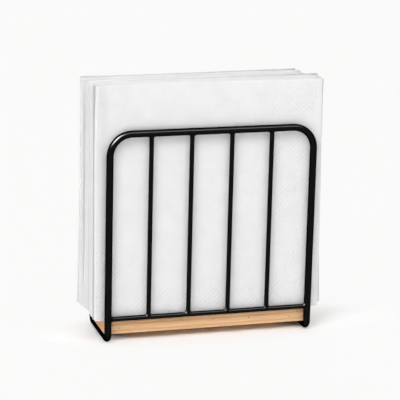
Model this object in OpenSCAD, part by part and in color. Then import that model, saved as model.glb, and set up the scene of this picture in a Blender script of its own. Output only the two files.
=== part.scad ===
// Upright napkin holder. Two arched panels of round steel rod stand back to back. Each leg
// bends inwards at the foot into a runner, and a wooden plank lies on the two runners.
// A stack of folded napkins stands on the plank, between the panels.
// Millimetres. The origin is on the table, under the middle of the frame. X runs to the right,
// Y runs from the front panel to the rear one, and Z is up.

/* [Frame] */
// Overall width over the legs
frame_w = 152.4; // [130:0.1:200]
// Overall depth over the two panels
frame_d = 50.8; // [42:0.1:90]
// Overall height to the top of the arches
frame_h = 152.4; // [110:0.1:200]
// Diameter of the bent rod
rod_d = 5; // [4:0.1:7]
// Centre-line radius of an arch's two top corners
arch_r = 15.5; // [8:0.5:30]
// Centre-line radius of the bend from a leg into its runner
foot_r = 4; // [3.6:0.1:6]

/* [Rails and bars] */
// Diameter of the low rail across each panel
rail_d = 3.5; // [2.5:0.1:5]
// Height of a rail's axis above the top of the plank
rail_rise = 2.9; // [2:0.1:20]
// Diameter of the upright bars
bar_d = 3.2; // [2:0.1:4.5]
// Number of upright bars in each panel
bar_count = 4; // [2:1:6]
// How far the row of bars sits to the right of a panel's middle
bar_shift = -0.9; // [-4:0.1:4]

/* [Plank] */
// Thickness of the plank
plank_t = 9.5; // [7:0.1:18]
// How far each end of the plank reaches past the axis of the runner under it
plank_overhang = 1.3; // [0:0.1:2.4]
// Clearance between the plank's long sides and the legs
plank_gap = 0.5; // [0.3:0.1:2]
// Rounding of the plank's long edges
plank_round = 1.2; // [0.5:0.1:3]

/* [Straps and screws] */
// Length of a strap along its runner
strap_l = 24; // [18:0.5:32]
// Width of a strap from its weld to its free edge
strap_w = 12; // [9:0.5:20]
// Thickness of a strap
strap_t = 1.5; // [1:0.1:2]
// Diameter of the weld bead along a strap
bead_d = 2; // [1.2:0.1:3]
// Distance between the two screws of a strap
screw_pitch = 13; // [10:0.5:16]
// Diameter of a screw's shank
screw_d = 3; // [2.5:0.1:4]
// Diameter of a screw's head
screw_head_d = 6; // [5:0.1:8]
// Height of a screw's head
screw_head_h = 1.8; // [1:0.1:2]
// How far a screw goes into the plank
screw_grip = 7; // [4:0.1:8]

/* [Napkins] */
// Number of napkins in the stack
napkin_count = 30; // [10:1:40]
// Air between one napkin and the next
napkin_air = 0.14; // [0.05:0.01:0.2]
// Room left free between the stack and the rear legs
slot_spare = 6.2; // [1:0.1:20]
// Width of the first napkin, which is folded the most loosely
napkin_w_front = 164; // [120:0.5:200]
// Width of the last napkin
napkin_w_back = 160; // [120:0.5:200]
// Height of a folded napkin
napkin_h = 167.5; // [120:0.5:220]
// How far the first napkin stands to the right of the frame's middle
napkin_x_front = -0.5; // [-8:0.1:8]
// How far the last napkin stands to the right of the frame's middle
napkin_x_back = -6.4; // [-8:0.1:8]
// How far single napkins stray to either side
napkin_stray = 1.2; // [0:0.1:3]
// Most that a napkin leans to either side, in degrees
napkin_lean = 0.25; // [0:0.05:1]
// Clearance between the first napkin and the legs
napkin_gap = 0.5; // [0.3:0.1:2]

/* [Hidden] */
// Clearance on the diameter of a screw in its strap and in the plank
strap_hole_fit = 0.4;
pilot_fit = 0.1;
// Spacing of the bars as a share of an even spacing between the legs
bar_spread_share = 0.984;
// Length of a weld bead as a share of its strap
bead_length_share = 0.8;
// Sizes of a screw's head and tip, as shares of its head and shank
head_flat_share = 0.72;
head_rim_share = 0.5;
tip_length_share = 1.3;
drive_length_share = 0.6;
drive_width_share = 0.16;
drive_depth_share = 0.55;
// Angle from one napkin to the next in the patterns of stray and lean
stray_turn = 137.5;
lean_turn = 222.5;
// Overrun of a cut
cut = 1;

rod_r = rod_d / 2;
leg_x = (frame_w - rod_d) / 2;
panel_y = (frame_d - rod_d) / 2;
top_z = frame_h - rod_r;
leg_low_z = rod_r + foot_r;
leg_high_z = top_z - arch_r;

plank_l = 2 * (leg_x + plank_overhang);
plank_d = 2 * (panel_y - rod_r - plank_gap);
plank_low_z = rod_d;
plank_top_z = plank_low_z + plank_t;
// The long edges are rounded at least enough to clear the foot bends
plank_edge_r = max(plank_round, foot_r - rod_r - plank_gap);

rail_z = plank_top_z + rail_rise;
bar_pitch = bar_spread_share * 2 * leg_x / (bar_count + 1);

strap_low_z = plank_low_z - strap_t;
// Distance from a runner's axis to the straight edge of a strap that touches it
strap_seat = strap_t < rod_r ? sqrt(rod_r * rod_r - pow(rod_r - strap_t, 2)) : rod_r;
strap_edge_x = leg_x - strap_seat;
screw_x = strap_edge_x - strap_w / 2;

// The napkins are squeezed evenly into the part of the slot that they fill
slot_d = 2 * (panel_y - rod_r);
stack_d = slot_d - napkin_gap - slot_spare;
napkin_pitch = (stack_d + napkin_air) / napkin_count;
napkin_t = napkin_pitch - napkin_air;
napkin_y = -slot_d / 2 + napkin_gap + napkin_t / 2;

steel_black = "#1a1a1b";
wood_tan = "#dcb184";
zinc_grey = "#b8babc";
paper_white = "#f1f0f1";

$fn = 64;

// A rod of a given diameter and length along X, centred on its place
module rod_along_x(d, length) {
    rotate([0, 90, 0])
        cylinder(d = d, h = length, center = true);
}

// A quarter bend of the frame rod in the XY plane, from the X axis to the Y axis
module rod_bend(radius) {
    rotate_extrude(angle = 90)
        translate([radius, 0])
            circle(d = rod_d);
}

// The straight leg that rails are cut against, over its whole height
module leg_line() {
    translate([leg_x, 0, 0])
        cylinder(d = rod_d, h = frame_h);
}

// The top rod that bars are cut against
module top_line() {
    translate([0, 0, top_z])
        rod_along_x(rod_d, 2 * leg_x);
}

// The low rail's full round, before its ends are cut to the legs
module rail_line() {
    translate([0, 0, rail_z])
        rod_along_x(rail_d, 2 * leg_x);
}

// The right half of one panel's bent rod: half the top, a corner, a leg, a foot and half a runner
module half_frame_rod() {
    top_length = leg_x - arch_r;
    translate([top_length / 2, 0, top_z])
        rod_along_x(rod_d, top_length);
    translate([top_length, 0, leg_high_z])
        rotate([90, 0, 0])
            rod_bend(arch_r);
    translate([leg_x, 0, leg_low_z])
        cylinder(d = rod_d, h = leg_high_z - leg_low_z);
    translate([leg_x, foot_r, leg_low_z])
        rotate([-90, 0, -90])
            rod_bend(foot_r);
    translate([leg_x, foot_r, rod_r])
        rotate([-90, 0, 0])
            cylinder(d = rod_d, h = panel_y - foot_r);
}

// One bent rod, standing at the front with its runners reaching back to the middle
module frame_rod() {
    translate([0, -panel_y, 0]) {
        half_frame_rod();
        mirror([1, 0, 0])
            half_frame_rod();
    }
}

module front_frame() {
    color(steel_black)
        frame_rod();
}

module rear_frame() {
    color(steel_black)
        mirror([0, 1, 0])
            frame_rod();
}

// A rail with its ends cut to the round of the legs; side is -1 at the front and 1 at the rear
module rail(side) {
    color(steel_black)
        translate([0, side * panel_y, 0])
            difference() {
                rail_line();
                leg_line();
                mirror([1, 0, 0])
                    leg_line();
            }
}

module front_rail() {
    rail(-1);
}

module rear_rail() {
    rail(1);
}

// Bar number i of a panel, counted from the left, with its ends cut to the rail and the top rod
module bar(side, i) {
    bar_x = bar_shift + (i - (bar_count + 1) / 2) * bar_pitch;
    color(steel_black)
        translate([0, side * panel_y, 0])
            difference() {
                translate([bar_x, 0, rail_z])
                    cylinder(d = bar_d, h = top_z - rail_z);
                rail_line();
                top_line();
            }
}

// The plank's section: a rectangle with rounded corners, seen along its length
module plank_section() {
    inner_d = plank_d - 2 * plank_edge_r;
    inner_t = plank_t - 2 * plank_edge_r;
    square([plank_d, inner_t], center = true);
    square([inner_d, plank_t], center = true);
    for (sy = [-1, 1], sz = [-1, 1])
        translate([sy * inner_d / 2, sz * inner_t / 2])
            circle(r = plank_edge_r);
}

// Repeats its children at the four screws
module at_screws() {
    for (sx = [-1, 1], sy = [-1, 1])
        translate([sx * screw_x, sy * screw_pitch / 2, strap_low_z])
            children();
}

module base_plank() {
    color(wood_tan)
        difference() {
            translate([0, 0, plank_low_z + plank_t / 2])
                rotate([90, 0, 90])
                    linear_extrude(height = plank_l, center = true)
                        plank_section();
            at_screws()
                cylinder(d = screw_d + pilot_fit, h = strap_t + screw_grip);
        }
}

// The right-hand strap: a drilled tab flush with the top of the runner, and its weld bead
module strap() {
    color(steel_black)
        difference() {
            union() {
                translate([strap_edge_x - strap_w, -strap_l / 2, strap_low_z])
                    cube([strap_w, strap_l, strap_t]);
                translate([strap_edge_x, 0, strap_low_z])
                    rotate([90, 0, 0])
                        cylinder(d = bead_d, h = bead_length_share * strap_l, center = true);
            }
            translate([leg_x, 0, rod_r])
                rotate([90, 0, 0])
                    cylinder(d = rod_d, h = strap_l + 2 * cut, center = true);
            at_screws()
                translate([0, 0, -cut])
                    cylinder(d = screw_d + strap_hole_fit, h = strap_t + 2 * cut);
        }
}

module left_strap() {
    mirror([1, 0, 0])
        strap();
}

module right_strap() {
    strap();
}

// Half the section of a screw that stands point up, with the underside of its head at zero
module screw_half_section() {
    head_r = screw_head_d / 2;
    shank_r = screw_d / 2;
    tip_z = strap_t + screw_grip;
    polygon([
        [0, -screw_head_h],
        [head_flat_share * head_r, -screw_head_h],
        [head_r, -head_rim_share * screw_head_h],
        [head_r, 0],
        [shank_r, 0],
        [shank_r, tip_z - tip_length_share * screw_d],
        [0, tip_z]
    ]);
}

module screw() {
    drive_l = drive_length_share * screw_head_d;
    drive_w = drive_width_share * screw_head_d;
    drive_depth = drive_depth_share * screw_head_h;
    difference() {
        rotate_extrude()
            screw_half_section();
        for (turn = [0, 90])
            rotate([0, 0, turn])
                translate([-drive_l / 2, -drive_w / 2, -screw_head_h - cut])
                    cube([drive_l, drive_w, drive_depth + cut]);
    }
}

module strap_screws() {
    color(zinc_grey)
        at_screws()
            screw();
}

// Place of napkin k in the stack, from 0 at the front to 1 at the back
function depth_share(k) = napkin_count > 1 ? (k - 1) / (napkin_count - 1) : 0;

// A value that goes evenly from the first napkin's to the last one's
function through_stack(k, first, last) = first + (last - first) * depth_share(k);

// A folded sheet's section: a flat strip centred on its place, round at its low end where it folds
module fold_section(length) {
    fold_r = napkin_t / 2;
    translate([fold_r / 2, 0])
        square([length - fold_r, napkin_t], center = true);
    translate([fold_r - length / 2, 0])
        circle(r = fold_r);
}

// Napkin number k, counted from the front, folded at its left side and at its foot
module napkin(k) {
    width = through_stack(k, napkin_w_front, napkin_w_back);
    lean = napkin_lean * sin(k * lean_turn);
    stray = napkin_stray * sin(k * stray_turn);
    place_x = through_stack(k, napkin_x_front, napkin_x_back) + stray;
    place_y = napkin_y + (k - 1) * napkin_pitch;
    foot_lift = width / 2 * abs(sin(lean));
    color(paper_white)
        translate([place_x, place_y, plank_top_z + foot_lift])
            rotate([0, lean, 0])
                intersection() {
                    linear_extrude(height = napkin_h)
                        fold_section(width);
                    rotate([0, -90, 0])
                        linear_extrude(height = width, center = true)
                            translate([napkin_h / 2, 0])
                                fold_section(napkin_h);
                }
}

front_frame();
rear_frame();
front_rail();
rear_rail();
for (i = [1 : bar_count]) {
    bar(-1, i);
    bar(1, i);
}
base_plank();
left_strap();
right_strap();
strap_screws();
for (k = [1 : napkin_count]) {
    napkin(k);
}
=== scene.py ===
"""Looks for the napkin holder: a black wire frame, a wooden plank and a stack of folded paper napkins."""

import math

import bpy
import numpy as np
from mathutils import Matrix, Vector


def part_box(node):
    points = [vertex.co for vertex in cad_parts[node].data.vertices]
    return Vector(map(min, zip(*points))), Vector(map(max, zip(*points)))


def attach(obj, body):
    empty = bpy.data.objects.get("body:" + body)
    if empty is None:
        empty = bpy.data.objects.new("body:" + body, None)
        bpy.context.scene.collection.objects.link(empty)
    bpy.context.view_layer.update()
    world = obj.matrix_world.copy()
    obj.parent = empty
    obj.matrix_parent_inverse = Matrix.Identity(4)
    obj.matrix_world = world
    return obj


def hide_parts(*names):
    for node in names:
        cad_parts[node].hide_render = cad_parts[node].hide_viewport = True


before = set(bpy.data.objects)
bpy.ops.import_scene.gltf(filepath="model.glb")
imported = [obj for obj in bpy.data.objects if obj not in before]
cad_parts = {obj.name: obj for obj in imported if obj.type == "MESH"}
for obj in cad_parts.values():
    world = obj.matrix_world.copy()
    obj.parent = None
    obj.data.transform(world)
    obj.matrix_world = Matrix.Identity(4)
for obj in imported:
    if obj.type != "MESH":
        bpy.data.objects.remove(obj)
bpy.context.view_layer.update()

# The scene is in metres, and small sizes are written in millimetres
MM = 0.001

# The holder's body
HOLDER = "holder"

# Colours are linear; the backdrop is what the camera and gloss see behind the object
WHITE = (1.0, 1.0, 1.0)
BACKDROP = (0.955, 0.955, 0.950)


# Meshes


def mesh_object(name, points, quads, flat=0):
    """An object made from points (n, 3) and four-cornered faces (m, 4), smooth but for the last flat ones."""
    mesh = bpy.data.meshes.new(name)
    mesh.vertices.add(len(points))
    mesh.vertices.foreach_set("co", np.asarray(points, np.float32).ravel())
    mesh.loops.add(quads.size)
    mesh.loops.foreach_set("vertex_index", np.asarray(quads, np.int32).ravel())
    mesh.polygons.add(len(quads))
    mesh.polygons.foreach_set("loop_start", np.arange(0, quads.size, 4, dtype=np.int32))
    mesh.polygons.foreach_set("use_smooth", np.arange(len(quads)) < len(quads) - flat)
    mesh.update(calc_edges=True)
    made = bpy.data.objects.new(name, mesh)
    bpy.context.scene.collection.objects.link(made)
    return made


def grid_quads(rows, columns, first=0, closed=False):
    """Faces between neighbours of a grid of points, stored row by row; a closed grid joins up both ways."""
    i = np.arange(rows if closed else rows - 1)
    j = np.arange(columns if closed else columns - 1)
    i, j = (a.ravel() for a in np.meshgrid(i, j, indexing="ij"))
    next_i, next_j = (i + 1) % rows, (j + 1) % columns
    corners = [i * columns + j, next_i * columns + j, next_i * columns + next_j, i * columns + next_j]
    return first + np.stack(corners, axis=1)


def smoothstep(x, low, high):
    """0 below low, 1 above high, with an easy turn at both ends."""
    t = np.clip((np.asarray(x, float) - low) / (high - low), 0.0, 1.0)
    return t * t * (3.0 - 2.0 * t)


def fade(x, low, high):
    """1 below low, 0 above high, with an easy turn at both ends."""
    return 1.0 - smoothstep(x, low, high)


def wave(place, rate, start):
    """A sine along place, which turns by rate radians for each unit, from the angle start."""
    return np.sin(rate * place + start)


def dress(obj, material):
    """Puts one material on an object, in place of those that it came with."""
    obj.data.materials.clear()
    obj.data.materials.append(material)


# Node trees

# Most values of a noise texture lie in this range
NOISE_RANGE = (0.3, 0.7)


def rgba(colour):
    """A colour with full alpha."""
    return (*colour, 1.0)


def grey(level):
    """A neutral colour."""
    return (level, level, level)


class NodeTree:
    """The emptied node tree of a material or world, with short forms for the nodes that are used here.

    The value of a socket is the output of another node, or a plain number or colour.
    """

    def __init__(self, owner, output_kind):
        owner.use_nodes = True
        self.nodes = owner.node_tree.nodes
        self.links = owner.node_tree.links
        self.nodes.clear()
        self.surface = self.add(output_kind).inputs["Surface"]

    def feed(self, socket, value):
        """Gives an input socket its value."""
        if isinstance(value, bpy.types.NodeSocket):
            self.links.new(value, socket)
        else:
            socket.default_value = value

    def add(self, kind, values=None, **settings):
        """A new node with its settings by name, and the values of its sockets by name or number."""
        node = self.nodes.new(kind)
        for key, setting in settings.items():
            setattr(node, key, setting)
        for key, value in (values or {}).items():
            self.feed(node.inputs[key], value)
        return node

    def ramp(self, source, stops):
        """A colour ramp over source, from (place, colour) stops."""
        node = self.add("ShaderNodeValToRGB", {"Fac": source})
        elements = node.color_ramp.elements
        while len(elements) < len(stops):
            elements.new(0.5)
        for element, (place, colour) in zip(elements, stops):
            element.position = place
            element.color = rgba(colour)
        return node.outputs["Color"]

    def spread(self, source, taken, given):
        """Maps source from the range taken to the range given, clamped."""
        limits = zip(("From Min", "From Max", "To Min", "To Max"), (*taken, *given))
        return self.add("ShaderNodeMapRange", {"Value": source, **dict(limits)}).outputs["Result"]

    def place(self, scale, shift=(0.0, 0.0, 0.0)):
        """Object coordinates times scale, which is one number for each axis, per metre, then shifted."""
        where = self.add("ShaderNodeTexCoord").outputs["Object"]
        values = {"Vector": where, "Scale": scale, "Location": shift}
        return self.add("ShaderNodeMapping", values).outputs["Vector"]

    def noise(self, scale, detail, roughness=0.5, distortion=0.0):
        """A noise texture; scale is how many of its cells lie in a metre, for each axis."""
        values = {
            "Vector": self.place(scale),
            "Scale": 1.0,
            "Detail": detail,
            "Roughness": roughness,
            "Distortion": distortion,
        }
        return self.add("ShaderNodeTexNoise", values).outputs["Fac"]

    def worked_out(self, operation, *numbers):
        """The result of a sum on one or two numbers."""
        return self.add("ShaderNodeMath", dict(enumerate(numbers)), operation=operation).outputs[0]

    def mixed(self, blend, share, first, second):
        """Colour first blended with a share of colour second."""
        values = {"Factor": share, "A": first, "B": second}
        return self.add("ShaderNodeMix", values, data_type="RGBA", blend_type=blend).outputs["Result"]

    def bump(self, height, strength, distance, under=None):
        """A normal from a height, on top of an earlier normal if there is one."""
        values = {"Strength": strength, "Distance": distance, "Height": height}
        if under is not None:
            values["Normal"] = under
        return self.add("ShaderNodeBump", values).outputs["Normal"]

    def principled(self, values):
        """A Principled shader."""
        return self.add("ShaderNodeBsdfPrincipled", values).outputs["BSDF"]

    def mixed_shader(self, share, first, second):
        """Shader first mixed with a share of shader second."""
        return self.add("ShaderNodeMixShader", {"Fac": share, 1: first, 2: second}).outputs[0]

    def seen_rays(self):
        """1 for a ray that comes from the camera, straight or by way of gloss or glass, 0 for other rays."""
        rays = self.add("ShaderNodeLightPath").outputs
        either = self.worked_out("MAXIMUM", rays["Is Camera Ray"], rays["Is Glossy Ray"])
        return self.worked_out("MAXIMUM", either, rays["Is Transmission Ray"])


def new_material(name):
    """A material and its empty node tree."""
    material = bpy.data.materials.new(name)
    return material, NodeTree(material, "ShaderNodeOutputMaterial")


# Powder coat. A bump is its strength and its depth in metres.

COAT_PEEL_SCALE = (900.0,) * 3
COAT_CLOUD_SCALE = (120.0,) * 3
COAT_DARK = (0.0072, 0.0069, 0.0066)
COAT_LIGHT = (0.0085, 0.0081, 0.0076)
COAT_TONES = [(0.35, COAT_DARK), (0.70, COAT_LIGHT)]
COAT_EDGE = (0.10, 0.10, 0.10)
COAT_ROUGHNESS = (0.12, 0.17)
COAT_PEEL_BUMP = (0.05, 0.05 * MM)


def coat_material():
    """Satin black powder coat with a fine orange peel, which stays dark where it is seen at a low angle."""
    material, tree = new_material("black_powder_coat")
    peel = tree.noise(COAT_PEEL_SCALE, detail=2.0)
    cloud = tree.noise(COAT_CLOUD_SCALE, detail=3.0)
    tree.feed(tree.surface, tree.principled({
        "Base Color": tree.ramp(cloud, COAT_TONES),
        "Roughness": tree.spread(cloud, NOISE_RANGE, COAT_ROUGHNESS),
        "Metallic": 1.0,
        "Specular Tint": rgba(COAT_EDGE),
        "Normal": tree.bump(peel, *COAT_PEEL_BUMP),
    }))
    return material


# Wood. The plank lies along X; PITH is y and z of the trunk's middle, and RING_PITCH the distance between
# rings, both in metres.

PITH = (0.012, -0.045)
RING_PITCH = 0.0042
# Blender's wave texture turns by 20 radians for each unit of length times its scale
WAVE_RATE = 20.0
RING_WAVE = {
    "Scale": 2.0 * math.pi / (WAVE_RATE * RING_PITCH),
    "Distortion": 4.5,
    "Detail": 3.0,
    "Detail Scale": 0.7,
    "Detail Roughness": 0.6,
}
RING_STRETCH = (0.05, 1.0, 1.0)
BAND_SCALE = (7.0, 240.0, 150.0)
FIBRE_SCALE = (60.0, 2200.0, 2200.0)
PORE_SCALE = (170.0, 1300.0, 1300.0)
SPECK_SCALE = (380.0, 800.0, 800.0)

WOOD_PALE = (0.890, 0.565, 0.304)
WOOD_MID = (0.790, 0.475, 0.238)
WOOD_DEEP = (0.700, 0.385, 0.175)
WOOD_SPECK = (0.210, 0.085, 0.030)
WOOD_END = (0.90, 0.81, 0.76)
RING_TONES = [(0.0, WOOD_PALE), (0.45, WOOD_PALE), (0.90, WOOD_MID), (1.0, WOOD_DEEP)]
BAND_TONES = [(0.30, (0.86, 0.79, 0.72)), (0.55, WHITE)]
FIBRE_TONES = [(0.30, (0.72, 0.66, 0.60)), (0.60, WHITE)]
FIBRE_SHARE = 0.55
SPECK_RANGE = (0.70, 0.75)
SPECK_SHARE = (0.0, 0.9)
END_FACING = (0.5, 0.95)
WOOD_ROUGHNESS = (0.62, 0.48)
WOOD_GLOSS = 0.2
PORE_BUMP = (0.25, 0.10 * MM)
RING_BUMP = (0.10, 0.10 * MM)


def growth_rings(tree):
    """Rings round a line along X, the trunk's middle, drawn out and gently wavy along the grain."""
    place = tree.place(RING_STRETCH, (0.0, -PITH[0], -PITH[1]))
    values = {**RING_WAVE, "Vector": place}
    return tree.add("ShaderNodeTexWave", values, wave_type="RINGS", rings_direction="X").outputs["Fac"]


def end_faces(tree):
    """1 on the sawn ends of a piece that lies along X, 0 on its sides."""
    normal = tree.add("ShaderNodeTexCoord").outputs["Normal"]
    facing = tree.add("ShaderNodeSeparateXYZ", {0: normal}).outputs["X"]
    return tree.spread(tree.worked_out("ABSOLUTE", facing), END_FACING, (0.0, 1.0))


def wood_material():
    """Oiled pale wood: growth rings drawn out along X, fibres, pores, a few specks and darker end grain."""
    material, tree = new_material("plank_wood")
    rings = growth_rings(tree)
    bands = tree.noise(BAND_SCALE, detail=4.0, distortion=0.6)
    fibres = tree.noise(FIBRE_SCALE, detail=3.0)
    pores = tree.noise(PORE_SCALE, detail=2.0)
    specks = tree.noise(SPECK_SCALE, detail=1.0)
    tone = tree.ramp(rings, RING_TONES)
    tone = tree.mixed("MULTIPLY", 1.0, tone, tree.ramp(bands, BAND_TONES))
    tone = tree.mixed("MULTIPLY", FIBRE_SHARE, tone, tree.ramp(fibres, FIBRE_TONES))
    tone = tree.mixed("MIX", tree.spread(specks, SPECK_RANGE, SPECK_SHARE), tone, rgba(WOOD_SPECK))
    tone = tree.mixed("MULTIPLY", end_faces(tree), tone, rgba(WOOD_END))
    tree.feed(tree.surface, tree.principled({
        "Base Color": tone,
        "Roughness": tree.spread(bands, NOISE_RANGE, WOOD_ROUGHNESS),
        "Specular IOR Level": WOOD_GLOSS,
        "Normal": tree.bump(rings, *RING_BUMP, under=tree.bump(pores, *PORE_BUMP)),
    }))
    return material


# Zinc

ZINC_CLOUD_SCALE = (700.0,) * 3
ZINC_SCUFF_SCALE = (500.0, 4000.0, 4000.0)
ZINC_PALE = (0.62, 0.62, 0.60)
ZINC_DULL = (0.42, 0.42, 0.43)
ZINC_TONES = [(0.35, ZINC_DULL), (0.65, ZINC_PALE)]
ZINC_ROUGHNESS = (0.25, 0.45)
ZINC_SCUFF_BUMP = (0.12, 0.05 * MM)


def zinc_material():
    """Zinc-plated steel with a cloudy, lightly scuffed surface."""
    material, tree = new_material("zinc_steel")
    cloud = tree.noise(ZINC_CLOUD_SCALE, detail=4.0)
    scuff = tree.noise(ZINC_SCUFF_SCALE, detail=2.0)
    tree.feed(tree.surface, tree.principled({
        "Base Color": tree.ramp(cloud, ZINC_TONES),
        "Roughness": tree.spread(scuff, NOISE_RANGE, ZINC_ROUGHNESS),
        "Metallic": 1.0,
        "Normal": tree.bump(scuff, *ZINC_SCUFF_BUMP),
    }))
    return material


# Paper. A point attribute, from -1 to 1, paints shade below 0 and a highlight above 0 through a grey ramp.

PAPER_CLOUD_SCALE = (90.0,) * 3
PAPER_CREPE_SCALE = (520.0, 520.0, 900.0)
PAPER_FIBRE_SCALE = (1800.0,) * 3
PAPER_BRIGHT = (0.833, 0.826, 0.828)
PAPER_SHADE = (0.799, 0.792, 0.794)
PAPER_TONES = [(0.32, PAPER_SHADE), (0.62, PAPER_BRIGHT)]
# Name of the point attribute that holds painted light and shade, not only the pressed pattern
PAINTED_LIGHT_ATTRIBUTE = "pressed"
PAINTED_LIGHT_TONES = [(0.0, grey(0.55)), (0.35, grey(0.88)), (0.5, grey(0.985)), (1.0, grey(1.12))]
PAPER_ROUGHNESS = (0.86, 0.97)
PAPER_GLOSS = 0.02
PAPER_SHEEN = 0.03
PAPER_SHEEN_ROUGHNESS = 0.6
FUZZ_BUMP = (0.15, 0.05 * MM)
CREPE_BUMP = (0.28, 0.12 * MM)


def paper_material():
    """Soft white tissue paper: cloudy fibres, a fine crepe, and painted light and shade at folds, edges and
    pattern.
    """
    material, tree = new_material("napkin_tissue")
    cloud = tree.noise(PAPER_CLOUD_SCALE, detail=5.0, roughness=0.6)
    crepe = tree.noise(PAPER_CREPE_SCALE, detail=3.0, roughness=0.6)
    fibres = tree.noise(PAPER_FIBRE_SCALE, detail=2.0)
    # Painted highlight and painted shade, read from the point attribute
    pressed = tree.add("ShaderNodeAttribute", attribute_name=PAINTED_LIGHT_ATTRIBUTE).outputs["Fac"]
    painted_light = tree.ramp(tree.spread(pressed, (-1.0, 1.0), (0.0, 1.0)), PAINTED_LIGHT_TONES)
    tree.feed(tree.surface, tree.principled({
        "Base Color": tree.mixed("MULTIPLY", 1.0, tree.ramp(cloud, PAPER_TONES), painted_light),
        "Roughness": tree.spread(fibres, NOISE_RANGE, PAPER_ROUGHNESS),
        "Specular IOR Level": PAPER_GLOSS,
        "Sheen Weight": PAPER_SHEEN,
        "Sheen Roughness": PAPER_SHEEN_ROUGHNESS,
        "Normal": tree.bump(crepe, *CREPE_BUMP, under=tree.bump(fibres, *FUZZ_BUMP)),
    }))
    return material


# Welds. FRAME_ROD_R is the radius of the frames' bent rod. Each fillet reaches FILLET along both of its rods,
# more on one side of the bead and less on the other.

FRAME_ROD_R = 2.5 * MM
FILLET = 1.35 * MM
FILLET_SWING = 0.28
FILLET_SINK = 0.03 * MM
FILLET_INNER_SHARE = 0.55
FILLET_TURNS = 40
FILLET_STEPS = 6
GOLDEN_TURN = 2.39996
ALONG_X = (1, 0, 0)
UP = (0, 0, 1)
DOWN = (0, 0, -1)


def weld_ring(middle, stem, cross, stem_r, cross_r, number):
    """Points of a weld fillet where a stem, of radius stem_r, meets a cross rod, of radius cross_r.

    stem and cross are the ways that the rods run, and middle is on the cross rod's axis. The fillet is a ring
    whose section runs from the stem down to the cross rod in a hollow curve and back inside the metal.
    number turns the bead's thick side.
    """
    stem, cross, middle = (np.asarray(v, float) for v in (stem, cross, middle))
    side = np.cross(stem, cross)
    turn = np.linspace(0.0, 2.0 * np.pi, FILLET_TURNS, endpoint=False)[:, None]
    reach = FILLET * (1.0 + FILLET_SWING * np.sin(turn + number * GOLDEN_TURN))
    across, aside = np.cos(turn), np.sin(turn)
    rise = np.sqrt(cross_r**2 - (stem_r * aside) ** 2)
    slope = np.arcsin(stem_r * aside / cross_r)
    meet = cross * stem_r * across + side * stem_r * aside + stem * rise
    inner_r = stem_r - FILLET_SINK
    top = cross * inner_r * across + side * inner_r * aside + stem * (rise + reach)
    low_slope = slope + reach * aside / cross_r
    low_r = cross_r - FILLET_SINK
    low = cross * (stem_r + reach) * across + low_r * (stem * np.cos(low_slope) + side * np.sin(low_slope))
    inside = FILLET_INNER_SHARE * meet
    steps = np.linspace(0.0, 1.0, FILLET_STEPS)
    section = [(1 - t) ** 2 * top + 2 * t * (1 - t) * meet + t**2 * low for t in steps]
    return middle + np.stack([*section, inside], axis=1)


def centre_and_half(node):
    """The middle of a CAD node's box and its half sizes."""
    low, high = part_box(node)
    return np.array((low + high) / 2), np.array((high - low) / 2)


def bar_names(side):
    """The CAD nodes of a panel's upright bars, by their numbers."""
    return sorted(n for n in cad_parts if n.startswith(f"{side}_bar_"))


def panel_welds(side):
    """One piece that holds all the weld fillets of a panel: bars to rail, bars to arch, rail to legs."""
    rail, rail_half = centre_and_half(f"{side}_rail")
    arch_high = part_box(f"{side}_frame")[1]
    rail_r = rail_half[2]
    top_z = arch_high.z - FRAME_ROD_R
    leg_x = arch_high.x - FRAME_ROD_R
    rings = []
    for bar in bar_names(side):
        (x, y, _), (bar_r, _, _) = centre_and_half(bar)
        rings.append(weld_ring((x, y, rail[2]), UP, ALONG_X, bar_r, rail_r, len(rings)))
        rings.append(weld_ring((x, y, top_z), DOWN, ALONG_X, bar_r, FRAME_ROD_R, len(rings)))
    for way in (-1, 1):
        on_leg = (way * leg_x, rail[1], rail[2])
        rings.append(weld_ring(on_leg, (-way, 0, 0), UP, rail_r, FRAME_ROD_R, len(rings)))
    turns, steps = rings[0].shape[:2]
    points = np.concatenate([ring.reshape(-1, 3) for ring in rings])
    quads = [grid_quads(turns, steps, i * turns * steps, closed=True) for i in range(len(rings))]
    welds = mesh_object(f"{side}_welds", points, np.concatenate(quads))
    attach(welds, HOLDER)
    return welds


# Napkins: the sheet and its folds. A napkin has four leaves with three gaps between them. All but the first
# napkin swell a little past their solids, and the first one's left fold is a roomier bend.

NAPKIN_COUNT = 30
PAPER_T = 0.235 * MM
LEAF_GAPS = 3.0
SWELL = 0.1 * MM
FRONT_PUFF_R = 0.5 * MM
FRONT_PUFF_L = 9.0 * MM

# Radius of the foot's fold at the outer leaf, in gaps
OUTER_FOOT_R = 1.5

# The mesh: half lengths of the finely divided stretch at the left fold, in radii, and at the foot's, in gaps;
# how many cells cross a plain leaf, and how large they are on a patterned leaf and along the rim
LEFT_BEND = 1.7
FOOT_BEND = 2.5
FOLD_CELLS = 8
LEAF_CELLS = (28, 24)
FINE_CELL = 0.9 * MM
RIM_CELL = 0.2 * MM

# Napkins with a pressed pattern on the leaf that faces forward; the last one has it on its rear leaf
PATTERNED_FRONT = (1, 2)

# Napkins: how loose paper lies

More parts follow.
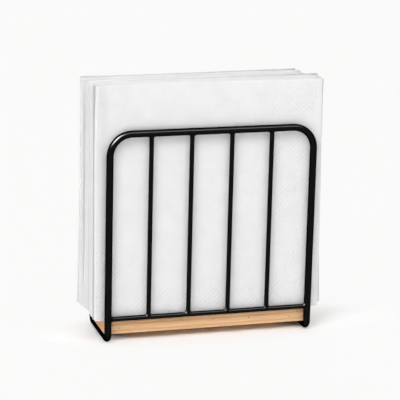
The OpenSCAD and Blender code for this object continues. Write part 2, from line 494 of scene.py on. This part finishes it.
# How far a napkin's corners stray from a true rectangle, in mm, by its number in the stack. Each list has
# stops, (number, stray), with straight runs between them.
CORNER_STRAYS = {
    "lower_left": {
        "x": [(1, -0.5), (3, -0.4), (5, -0.4), (15, 0.0), (30, 0.5)],
        "z": [(1, 2.0), (5, 3.4), (9, 5.0), (15, 5.4), (17, 5.0), (27, 4.3)],
    },
    "upper_left": {
        "x": [(1, -1.8), (2, -0.6), (5, -1.6), (7, -1.2), (18, 0.1), (19, -1.3), (30, 0.1)],
        "z": [
            (1, 1.9), (2, 0.5), (4, 0.6), (5, 0.9), (7, 0.9), (13, 0.6), (27, 0.7), (28, 0.3), (29, 1.2),
        ],
    },
    "lower_right": {
        "x": [(1, 0.6), (2, 2.6), (4, 3.3), (9, 3.0), (11, 2.6), (16, 1.0), (19, 0.5), (26, 0.0)],
        "z": [(1, 2.0), (2, 3.8), (5, 4.5), (11, 3.5), (18, 1.4), (30, 0.0)],
    },
    "upper_right": {
        "x": [(1, -1.8), (2, -4.8), (3, -4.4), (4, -1.2), (14, 1.8), (15, -5.7), (28, -2.0), (29, -4.4)],
        "z": [
            (1, 0.7), (2, 0.1), (11, 0.7), (12, 0.4), (13, 1.4), (14, 1.5), (15, 0.3), (28, 0.8), (29, 2.0),
        ],
    },
}
# How closely the lift of a lower corner is kept to that corner: powers across the sheet and up it
LEFT_TIP_POWER = 24
RIGHT_TIP_POWER = 6
TIP_RISE_POWER = 2
# Napkins that are pushed further in at the left than their neighbours, in mm: at the foot and at the top
PUSHED_IN = {
    2: (0.65, 0.0), 6: (0.65, 0.0), 10: (0.6, 0.0), 17: (0.0, 2.2), 18: (0.0, 2.1), 19: (0.35, 0.0),
    20: (0.85, 0.0), 21: (0.7, 0.0), 23: (0.0, 1.8), 27: (0.6, 2.2), 28: (0.0, 2.05),
}

# Random strays of each leaf's free edges, and waves along the edges, in radians from end to end
NAPKIN_SEED = 700
LEAF_STRAY = 0.08 * MM
EDGE_STRAY = 0.08 * MM
RIGHT_EDGE_WAVE = 7.0
LEFT_EDGE_WAVE = 5.0
TOP_EDGE_WAVE = 6.0

# The left ends fan out to the rear: fully left of the first x and not at all right of the second, and less
# from the first z up to the second
STACK_FLARE = 5.0 * MM
FLARE_X = (-86.0 * MM, -66.0 * MM)
FLARE_Z = (20.0 * MM, 130.0 * MM)
FLARE_TOP_LOSS = 0.75

# A slow swell over every sheet: radians per metre, and the angle that it starts from
SLOW_WAVE = 0.11 * MM
SLOW_WAVE_X = (28.0, 1.0)
SLOW_WAVE_Z = (23.0, 0.5)

# The first napkin: it swells between the bars, its upper left corner comes forward, and its right edge curls
# back. Ranges of x and z say between which places each of these comes in or fades out; the front leaf is told
# by how far it lies in front of the middle of the holder.
FRONT_LEAF_Y = (19.2 * MM, 19.6 * MM)
WINDOW_BULGE = 0.18 * MM
WINDOW_FOOT_Z = (20.0 * MM, 45.0 * MM)
WINDOW_TOP_Z = (115.0 * MM, 140.0 * MM)
CORNER_LIFT = 3.0 * MM
CORNER_LIFT_X = (-84.0 * MM, -40.0 * MM)
CORNER_LIFT_Z = (152.0 * MM, 190.0 * MM)
BACK_LEAF_LIFT_SHARE = 0.9
EDGE_CURL = 0.3 * MM
EDGE_CURL_L = 2.3 * MM
EDGE_CURL_Z = (95.0 * MM, 150.0 * MM)

# Napkins whose top edge leans forward, all along or towards the right
TOP_LEAN = 0.8 * MM
TOP_LEAN_L = 2.5 * MM
LEANING_ALL = (29, 30)
LEANING_RIGHT = (13, 14)
LEAN_RIGHT_POWER = 4

# Napkins: painted light and shade

# Napkins whose left fold lies back in a gap get painted shade there: the share at the foot and at the top
FOLD_SHADES = {
    2: (0.75, 0.8), 3: (0.15, 1.0), 4: (0.0, 0.6), 6: (0.5, 0.15), 10: (0.35, 0.1),
    18: (0.05, 0.35), 19: (0.25, 0.25), 20: (0.55, 0.15), 21: (0.25, 0.0),
    27: (0.3, 0.25), 28: (0.2, 0.35), 30: (0.15, 0.15),
}
FOLD_SHADE_L = (1.2 * MM, 4.0 * MM)
SHADE_RISE_POWER = 4

# Painted shade along the top edges of napkins, or painted highlight where below 0: the share at the left and
# at the right
TOP_SHADES = {
    1: (-0.12, -0.4), 2: (0.0, 0.6), 3: (0.0, 0.4), 13: (0.0, 0.45), 14: (0.0, 0.45),
    29: (0.35, 0.35), 30: (0.35, 0.35),
}
TOP_SHADE_L = (0.3 * MM, 1.8 * MM)
NO_SHADE = (0.0, 0.0)

# Painted shade on the loose edges at the right, where the gaps between leaves are shaded: how much darker,
# and how far in
LOOSE_SHADE = 0.3
LOOSE_SHADE_FRONT = 1.0
LOOSE_SHADE_L = (0.2 * MM, 1.5 * MM)

# Napkins: the pressed pattern. How far it stands proud, its bare margin, where each of its zones fades out,
# the grid that its dots stand in, in cells, and how unevenly they are pressed, patch by patch and dot by dot.

EMBOSS = 0.22 * MM
EMBOSS_HIDDEN_SHARE = 0.35
EMBOSS_MARGIN = 3.0 * MM
EMBOSS_FOOT = (14.0 * MM, 32.0 * MM)
EMBOSS_RIGHT = (12.0 * MM, 26.0 * MM)
EMBOSS_LEFT = (10.0 * MM, 24.0 * MM)
EMBOSS_SIDES_END = (55.0 * MM, 100.0 * MM)
EMBOSS_FIELD = (14.0 * MM, 72.0 * MM)
EMBOSS_FIELD_SHARE = 0.8
EMBOSS_BORDER_SHARE = 0.95
# Painted shade on the cell beside each dot, as a share; that cell has no relief
EMBOSS_PAINTED_SHADE = 0.45
EMBOSS_COLUMNS = 2
EMBOSS_ROWS = 4
EMBOSS_PATCH = 6
EMBOSS_WEAR = (0.0, 1.3)
EMBOSS_TABLE = 64
EMBOSS_SEED = 41


def fold(s, radius, skin):
    """A sheet bent back on itself: (distance from the fold, offset to the side as a share) at arc length s.

    radius is the bend of the sheet's middle, and skin how far outside the middle the wanted skin lies.
    """
    quarter = np.pi * radius / 2.0
    turn = np.clip(s / radius, -np.pi / 2.0, np.pi / 2.0)
    straight = np.maximum(np.abs(s) - quarter, 0.0)
    return straight - (radius + skin) * np.cos(turn), np.sin(turn)


def fold_lines(before, after, length, bend):
    """Places of the grid lines along a side of the sheet, from -length to length, close at the fold."""
    low = np.linspace(RIM_CELL - length, -bend, before + 1)
    middle = np.linspace(-bend, bend, FOLD_CELLS + 1)
    high = np.linspace(bend, length - RIM_CELL, after + 1)
    return np.concatenate([[-length], low, middle[1:-1], high, [length]])


class Napkin:
    """A napkin by its number from the front: its CAD box, its folds and a grid of places on the flat sheet.

    The grid's s runs across the sheet and t up it, both 0 at the folds. On the leaf that faces forward both
    are below 0.
    """

    def __init__(self, number):
        self.number = number
        self.low, self.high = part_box(f"napkin_{number}")
        self.width = self.high.x - self.low.x
        self.height = self.high.z - self.low.z
        self.patterned_front = number in PATTERNED_FRONT
        self.patterned_back = number == NAPKIN_COUNT
        self.set_folds()
        self.set_grid()

    def set_folds(self):
        """The distance between leaves, and the bend of the sheet's middle at the left fold."""
        depth = self.high.y - self.low.y
        if self.number > 1:
            depth += SWELL
        self.gap = (depth - PAPER_T) / LEAF_GAPS
        self.puff_r = FRONT_PUFF_R if self.number == 1 else self.gap / 2.0

    def set_grid(self):
        """The grid, with small cells of one size on a patterned leaf and larger ones on the others."""
        self.bends = (LEFT_BEND * self.puff_r, FOOT_BEND * self.gap)
        flat = [side - RIM_CELL - bend for side, bend in zip((self.width, self.height), self.bends)]
        fine = [round(length / FINE_CELL) for length in flat]
        self.cells = [length / count for length, count in zip(flat, fine)]
        fine_s, fine_t = fine
        plain_s, plain_t = LEAF_CELLS
        patterned = self.patterned_front or self.patterned_back
        s_cells = (fine_s if patterned else plain_s, plain_s)
        t_cells = (fine_t if self.patterned_front else plain_t, fine_t if self.patterned_back else plain_t)
        s_lines = fold_lines(*s_cells, self.width, self.bends[0])
        t_lines = fold_lines(*t_cells, self.height, self.bends[1])
        self.s, self.t = np.meshgrid(s_lines, t_lines, indexing="ij")


def crisp_sheet(napkin, skin):
    """One skin of a sheet folded in half at x = 0 and again at z = 0, in a frame of its own.

    skin is how far outside the middle of the paper the skin lies.
    """
    gap, puff_r = napkin.gap, napkin.puff_r
    x, side = fold(napkin.s, puff_r, skin)
    puff = (puff_r - gap / 2.0) * fade(x, 0.0, FRONT_PUFF_L)
    half = gap / 2.0 + puff
    offset = (half + skin) * side
    z, way = fold(napkin.t, gap - (gap / 2.0) * side, -skin * side)
    return np.stack([x, (gap + 2.0 * puff - offset) * way - 2.0 * puff, z], axis=-1)


def dot_cells(i, j):
    """Cells of the pressed pattern that stand proud: dots in a staggered grid."""
    return (i % EMBOSS_COLUMNS == 0) & ((i - j) % EMBOSS_ROWS == 0)


def pattern_wear(i, j):
    """How strongly each cell of the pattern is pressed."""
    rng = np.random.default_rng(EMBOSS_SEED)
    patches, dots = rng.uniform(*EMBOSS_WEAR, (2, EMBOSS_TABLE, EMBOSS_TABLE))
    patch = patches[(i // EMBOSS_PATCH) % EMBOSS_TABLE, (j // EMBOSS_PATCH) % EMBOSS_TABLE]
    return patch * dots[i % EMBOSS_TABLE, j % EMBOSS_TABLE]


def pattern_relief_and_painted_light(napkin):
    """The pattern at each place of a napkin's grid: above 0 on a proud dot with painted highlight, below 0
    for painted shade beside it.

    Dots run along the foot and up the lower part of both sides, and spread over the upper right.
    """
    s, t, (left_bend, foot_bend) = napkin.s, napkin.t, napkin.bends
    if napkin.patterned_front:
        leaf = (s < -left_bend) & (t < -foot_bend)
    elif napkin.patterned_back:
        leaf = (s < -left_bend) & (t > foot_bend)
    else:
        return np.zeros_like(s)
    from_left, from_foot = np.abs(s), np.abs(t)
    from_right, from_top = napkin.width - from_left, napkin.height - from_foot
    sides = np.maximum(fade(from_right, *EMBOSS_RIGHT), fade(from_left, *EMBOSS_LEFT))
    low_sides = fade(from_foot, *EMBOSS_SIDES_END) * sides
    border = EMBOSS_BORDER_SHARE * np.maximum(fade(from_foot, *EMBOSS_FOOT), low_sides)
    field = EMBOSS_FIELD_SHARE * fade(from_right, *EMBOSS_FIELD)
    i = np.rint((from_left - left_bend) / napkin.cells[0]).astype(int)
    j = np.rint((from_foot - foot_bend) / napkin.cells[1]).astype(int)
    proud = dot_cells(i, j)
    # The cell diagonally beside a dot gets painted shade only
    painted_shade_beside_dots = dot_cells(i - 1, j + 1) & ~proud
    pattern = np.maximum(border, field) * pattern_wear(i, j) * (1.0 * proud - EMBOSS_PAINTED_SHADE * painted_shade_beside_dots)
    inside = np.minimum(np.minimum(from_right, from_top), from_foot) > EMBOSS_MARGIN
    return leaf * (inside * pattern)


def pattern_height(napkin):
    """How far the pattern stands proud along Y; the second napkin's is lower, as the first one hides it."""
    way = -1.0 if napkin.patterned_front else 1.0
    return way * EMBOSS * (EMBOSS_HIDDEN_SHARE if napkin.number == 2 else 1.0)


def painted_light_on_paper(napkin, relief_and_painted_light):
    """Painted light on the paper: on the pattern, and painted shade on the loose edges, top edges and fold
    gaps.
    """
    from_left, from_foot = np.abs(napkin.s), np.abs(napkin.t)
    across = np.clip(from_left / napkin.width, 0.0, 1.0)
    rise = np.clip(from_foot / napkin.height, 0.0, 1.0) ** SHADE_RISE_POWER
    # Painted shade along the loose right edges; on the first napkin it grows towards the top
    loose = LOOSE_SHADE_FRONT * rise if napkin.number == 1 else LOOSE_SHADE
    tone = relief_and_painted_light - loose * fade(napkin.width - from_left, *LOOSE_SHADE_L)
    # Painted shade along the top edges, or painted highlight where the share is below 0
    left, right = TOP_SHADES.get(napkin.number, NO_SHADE)
    tone = tone - (left + (right - left) * across**2) * fade(napkin.height - from_foot, *TOP_SHADE_L)
    # Painted shade in the gap beside the left fold
    foot, top = FOLD_SHADES.get(napkin.number, NO_SHADE)
    return tone - (foot + (top - foot) * rise) * fade(from_left, *FOLD_SHADE_L)


def corner_strays(number):
    """x and z strays of one napkin's corners, by the corners' names."""
    strays = {
        corner: np.array([np.interp(number, *zip(*stops[axis])) for axis in ("x", "z")])
        for corner, stops in CORNER_STRAYS.items()
    }
    for corner, pushed in zip(("lower_left", "upper_left"), PUSHED_IN.get(number, (0.0, 0.0))):
        strays[corner][0] += pushed
    return {corner: stray * MM for corner, stray in strays.items()}


def loose_draws(number):
    """Random strays of one napkin's leaves at the right and at the top, and where its edges' waves start."""
    rng = np.random.default_rng(NAPKIN_SEED + number)
    leaf_right = rng.normal(0, LEAF_STRAY, (2, 2))
    leaf_top = rng.normal(0, LEAF_STRAY, (2, 2))
    starts = rng.uniform(0, 2.0 * np.pi, 3)
    return leaf_right, leaf_top, starts


def strayed(napkin, points, across, upward):
    """x and z of a crisp napkin's points, moved out of square and with uneven free edges.

    across and upward are the points' places as shares of the napkin's width and height.
    """
    x, z = points[..., 0], points[..., 2]
    left, down = 1.0 - across, 1.0 - upward
    shares = {
        "lower_left": (left * down, left**LEFT_TIP_POWER * down**TIP_RISE_POWER),
        "upper_left": (left * upward, left * upward),
        "lower_right": (across * down, across**RIGHT_TIP_POWER * down**TIP_RISE_POWER),
        "upper_right": (across * upward, across * upward),
    }
    strays = corner_strays(napkin.number)
    for corner, (x_share, z_share) in shares.items():
        x = x + x_share * strays[corner][0]
        z = z + z_share * strays[corner][1]
    leaf_right, leaf_top, (right_start, left_start, top_start) = loose_draws(napkin.number)
    leaf = (napkin.s > 0).astype(int), (napkin.t > 0).astype(int)
    x = x + across * leaf_right[leaf]
    z = z + upward * leaf_top[leaf]
    right_edge = wave(upward, RIGHT_EDGE_WAVE, right_start) * across
    left_edge = wave(upward, LEFT_EDGE_WAVE, left_start) * left
    x = x + EDGE_STRAY * (right_edge + left_edge)
    z = z + EDGE_STRAY * upward * wave(across, TOP_EDGE_WAVE, top_start)
    return x, z


def stack_flare(number, x, z):
    """How far back a napkin fans out at its free left end, by its number in the stack."""
    depth_share = (number - 1) / (NAPKIN_COUNT - 1)
    height_share = 1.0 - FLARE_TOP_LOSS * smoothstep(z, *FLARE_Z)
    return STACK_FLARE * depth_share * fade(x, *FLARE_X) ** 2 * height_share


def window_bulge(x, z):
    """How far the front sheet swells between the bars: 0 at each rod, 1 in the middle of a window."""
    bars = sorted(centre_and_half(bar)[0][0] for bar in bar_names("front"))
    arch_low, arch_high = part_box("front_frame")
    rods = np.array([arch_low.x, *bars, arch_high.x])
    i = np.clip(np.searchsorted(rods, x) - 1, 0, len(rods) - 2)
    share = np.clip((x - rods[i]) / (rods[i + 1] - rods[i]), 0.0, 1.0)
    upright = smoothstep(z, *WINDOW_FOOT_Z) * fade(z, *WINDOW_TOP_Z)
    return np.sin(np.pi * share) * upright


def first_napkin_y(napkin, crisp, x, y, z):
    """y of the first napkin's points: swollen between the bars, a corner forward, an edge curled back."""
    front = smoothstep(-crisp[..., 1], *FRONT_LEAF_Y)
    y = y - WINDOW_BULGE * window_bulge(x, z) * front
    corner = fade(x, *CORNER_LIFT_X) * smoothstep(z, *CORNER_LIFT_Z)
    y = y - CORNER_LIFT * corner * np.where(napkin.t < 0, 1.0, BACK_LEAF_LIFT_SHARE)
    rolled = np.clip(1.0 - (napkin.high.x - crisp[..., 0]) / EDGE_CURL_L, 0.0, 1.0)
    return y + EDGE_CURL * rolled**2 * smoothstep(z, *EDGE_CURL_Z)


def relaxed(napkin, crisp):
    """A crisp napkin's points, moved as loose paper lies: out of square, wavy, fanned out, edges uneven."""
    number = napkin.number
    across = np.clip((crisp[..., 0] - napkin.low.x) / napkin.width, 0.0, 1.0)
    upward = np.clip((crisp[..., 2] - napkin.low.z) / napkin.height, 0.0, 1.0)
    x, z = strayed(napkin, crisp, across, upward)
    y = crisp[..., 1] + stack_flare(number, x, z)
    y = y + SLOW_WAVE * (1.0 + wave(x, *SLOW_WAVE_X) * wave(z, *SLOW_WAVE_Z))
    if number == 1:
        y = first_napkin_y(napkin, crisp, x, y, z)
    if number in LEANING_ALL + LEANING_RIGHT:
        bent = np.clip(1.0 - (napkin.high.z - crisp[..., 2]) / TOP_LEAN_L, 0.0, 1.0)
        y = y - TOP_LEAN * bent**2 * (1.0 if number in LEANING_ALL else across**LEAN_RIGHT_POWER)
    return np.stack([x, y, z], axis=-1)


def napkin_skin(napkin, relief_and_painted_light, skin):
    """Points of one skin of a napkin, where it stands on the plank, with its pressed pattern."""
    middle_y = (napkin.low.y + napkin.high.y) / 2
    place = np.array([napkin.low.x + napkin.puff_r, middle_y, napkin.low.z + OUTER_FOOT_R * napkin.gap])
    crisp = crisp_sheet(napkin, skin) + place
    crisp[..., 1] += pattern_height(napkin) * np.maximum(relief_and_painted_light, 0.0)
    return relaxed(napkin, crisp)


def sheet_faces(rows, columns):
    """Faces of two grids of points, an inner and an outer skin, and of the rim that joins them, rim last."""
    skin_size = rows * columns
    inner, outer = grid_quads(rows, columns), grid_quads(rows, columns, skin_size)
    rim = np.concatenate([
        np.arange(columns),
        columns * np.arange(1, rows) + columns - 1,
        (rows - 1) * columns + np.arange(columns - 2, -1, -1),
        columns * np.arange(rows - 2, 0, -1),
    ])
    after = np.roll(rim, -1)
    rim_faces = np.stack([rim, rim + skin_size, after + skin_size, after], axis=1)
    return np.concatenate([inner[:, ::-1], outer, rim_faces]), len(rim_faces)


def napkin_piece(number, paper):
    """One napkin: a square sheet folded in half at the left side and in half again at the foot."""
    napkin = Napkin(number)
    relief_and_painted_light = pattern_relief_and_painted_light(napkin)
    skins = [napkin_skin(napkin, relief_and_painted_light, side * PAPER_T / 2.0) for side in (-1, 1)]
    points = np.concatenate([skin.reshape(-1, 3) for skin in skins])
    faces, rim_count = sheet_faces(*napkin.s.shape)
    piece = mesh_object(f"folded_napkin_{number}", points, faces, flat=rim_count)
    # The point attribute carries painted highlight and shade for the paper's colour
    painted_light_values = np.tile(painted_light_on_paper(napkin, relief_and_painted_light).ravel(), len(skins))
    painted_light_layer = piece.data.attributes.new(PAINTED_LIGHT_ATTRIBUTE, "FLOAT", "POINT")
    painted_light_layer.data.foreach_set("value", painted_light_values.astype(np.float32))
    dress(piece, paper)
    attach(piece, "front_napkin" if number == 1 else "napkin_stack")
    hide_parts(f"napkin_{number}")


# Floor. It turns from a lit sheet into the white backdrop between an oval round the object, given by its half
# sizes in metres and the x of its middle, and one that is FLOOR_FAR times as large.

FLOOR_HALF = 4.0
FLOOR_NEAR = (0.078, 0.024)
FLOOR_MIDDLE = 0.012
FLOOR_FAR = 1.8
FLOOR_WHITE_SHARE = (0.0, 0.97)
FLOOR_MOTTLE_SCALE = (3.0,) * 3
FLOOR_PALE = (0.930, 0.926, 0.926)
FLOOR_TINT = (0.915, 0.911, 0.911)
FLOOR_TONES = [(0.3, FLOOR_TINT), (0.7, FLOOR_PALE)]
FLOOR_ROUGHNESS = 0.9
FLOOR_GLOSS = 0.1


def floor_material():
    """A plain pale sheet with the faintest mottling, which turns white away from the object."""
    material, tree = new_material("studio_floor")
    mottle = tree.noise(FLOOR_MOTTLE_SCALE, detail=2.0)
    lit = tree.principled({
        "Base Color": tree.ramp(mottle, FLOOR_TONES),
        "Roughness": FLOOR_ROUGHNESS,
        "Specular IOR Level": FLOOR_GLOSS,
    })
    near_x, near_y = FLOOR_NEAR
    oval = tree.place((1.0 / near_x, 1.0 / near_y, 0.0), (-FLOOR_MIDDLE / near_x, 0.0, 0.0))
    away = tree.add("ShaderNodeVectorMath", {0: oval}, operation="LENGTH").outputs["Value"]
    share = tree.spread(away, (1.0, FLOOR_FAR), FLOOR_WHITE_SHARE)
    white = tree.add("ShaderNodeEmission", {"Color": rgba(BACKDROP)}).outputs["Emission"]
    seen = tree.worked_out("MULTIPLY", share, tree.seen_rays())
    tree.feed(tree.surface, tree.mixed_shader(seen, lit, white))
    return material


def plain_floor():
    """The floor that the holder stands on."""
    ways = np.array([(-1, -1, 0), (1, -1, 0), (1, 1, 0), (-1, 1, 0)])
    floor = mesh_object("studio_floor", FLOOR_HALF * ways, np.array([[0, 1, 2, 3]]), flat=1)
    dress(floor, floor_material())


# Light

WORLD_LEVEL = 0.45
LIGHT_TARGET = (0.0, 0.0, 0.09)


def studio_world():
    """Even light from all round; seen directly or in gloss it is the pale backdrop."""
    world = bpy.data.worlds.new("studio")
    bpy.context.scene.world = world
    tree = NodeTree(world, "ShaderNodeOutputWorld")
    lit = tree.add("ShaderNodeBackground", {"Color": rgba(WHITE), "Strength": WORLD_LEVEL})
    seen = tree.add("ShaderNodeBackground", {"Color": rgba(BACKDROP)})
    tree.feed(tree.surface, tree.mixed_shader(tree.seen_rays(), lit.outputs[0], seen.outputs[0]))


def area_light(name, place, size, power, lights=True, gleams=True):
    """A soft rectangular lamp that looks at the holder: whether it lights things, and shows in gloss."""
    lamp = bpy.data.lights.new(name, "AREA")
    lamp.shape = "RECTANGLE"
    lamp.size, lamp.size_y = size
    lamp.energy = power
    made = bpy.data.objects.new(name, lamp)
    made.location = place
    made.rotation_euler = (Vector(LIGHT_TARGET) - Vector(place)).to_track_quat("-Z", "Y").to_euler()
    made.visible_diffuse = made.visible_transmission = made.visible_volume_scatter = lights
    made.visible_glossy = gleams
    bpy.context.scene.collection.objects.link(made)


def studio_lamps():
    """A key and a top light, two lamps that show only in gloss, as strips in the rods, and a back light."""
    area_light("key", place=(-1.84, -1.72, 2.43), size=(1.6, 1.6), power=45.5)
    area_light("top", place=(0.45, -1.48, 2.91), size=(2.0, 1.2), power=33.0)
    area_light("gleam_left", place=(-1.84, -1.84, 2.34), size=(2.4, 2.4), power=2000.0, lights=False)
    area_light("gleam_top", place=(0.68, -2.26, 2.36), size=(3.0, 0.45), power=190.0, lights=False)
    area_light("back", place=(0.2, 2.5, 2.0), size=(2.4, 1.6), power=26.0, gleams=False)


# Camera, fitted to the photograph: where it stands and how it is turned

CAMERA_PLACE = (-0.3806, -1.2651, 0.4494)
CAMERA_AZIMUTH = math.radians(16.664)
CAMERA_ELEVATION = math.radians(15.055)
CAMERA_ROLL = math.radians(1.446)
CAMERA_LENS = 173.3
CAMERA_SENSOR = 36.0


def photo_camera():
    """The photograph's camera."""
    azimuth, elevation, roll = CAMERA_AZIMUTH, CAMERA_ELEVATION, CAMERA_ROLL
    back = Vector((
        -math.sin(azimuth) * math.cos(elevation),
        -math.cos(azimuth) * math.cos(elevation),
        math.sin(elevation),
    ))
    level_right = (-back).cross(Vector(UP)).normalized()
    level_up = back.cross(level_right)
    right = math.cos(roll) * level_right + math.sin(roll) * level_up
    up = -math.sin(roll) * level_right + math.cos(roll) * level_up
    lens = bpy.data.cameras.new("photo_camera")
    lens.lens, lens.sensor_width = CAMERA_LENS, CAMERA_SENSOR
    camera = bpy.data.objects.new("photo_camera", lens)
    turned = Matrix((right, up, back)).transposed().to_4x4()
    camera.matrix_world = Matrix.Translation(CAMERA_PLACE) @ turned
    bpy.context.scene.collection.objects.link(camera)
    bpy.context.scene.camera = camera


# The whole scene


def dress_holder(coat, wood, zinc):
    """Gives the holder's CAD nodes their finishes and adds its welds; sheets replace the napkins' solids."""
    for name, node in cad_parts.items():
        if name == "base_plank":
            dress(node, wood)
        elif name == "strap_screws":
            dress(node, zinc)
        elif not name.startswith("napkin_"):
            dress(node, coat)
    for side in ("front", "rear"):
        dress(panel_welds(side), coat)


def main():
    """Sets the stage and builds every piece."""
    bpy.context.scene.view_settings.view_transform = "Standard"
    photo_camera()
    plain_floor()
    studio_world()
    studio_lamps()
    dress_holder(coat_material(), wood_material(), zinc_material())
    paper = paper_material()
    for number in range(1, NAPKIN_COUNT + 1):
        napkin_piece(number, paper)


main()
